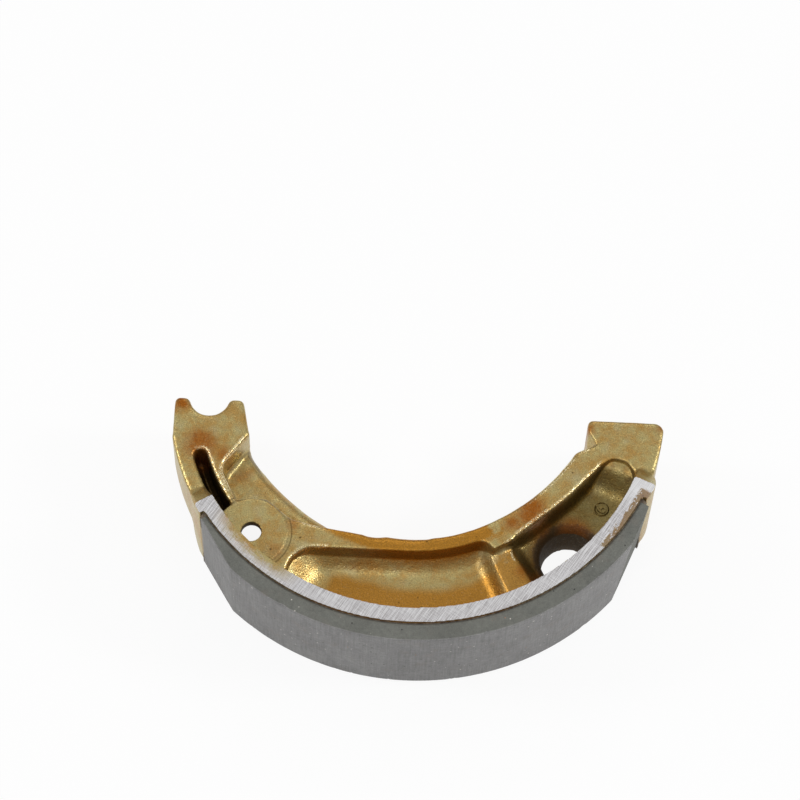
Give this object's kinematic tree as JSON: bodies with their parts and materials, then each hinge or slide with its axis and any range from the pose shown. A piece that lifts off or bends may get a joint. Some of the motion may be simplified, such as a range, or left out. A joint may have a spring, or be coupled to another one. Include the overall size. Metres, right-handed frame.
{
  "type": "brake shoe",
  "caption": "Cast leading or trailing shoe of a small drum brake: arched ribbed casting with a pivot fork, a flat cam pad and a bonded friction lining.",
  "frame": {"origin": "on the drum's axis, in the plane of the rim's lower ground face", "axes": "+Z along the drum's axis, up through the shoe's width; +X towards the cam pad's end, the pivot fork at -X; +Y from the lining through the drum's axis towards the other shoe"},
  "size_m": [0.1008, 0.0527, 0.025],
  "materials": {
    "cast_alloy": "rough cast, yellow passivated, ground on both rim faces",
    "lining": "pressed friction compound, ground",
    "bond": "cured adhesive"
  },
  "bodies": {
    "root": {"shoe_casting": "cast_alloy", "friction_lining": "lining", "bond_film": "bond"}
  },
  "joints": []
}
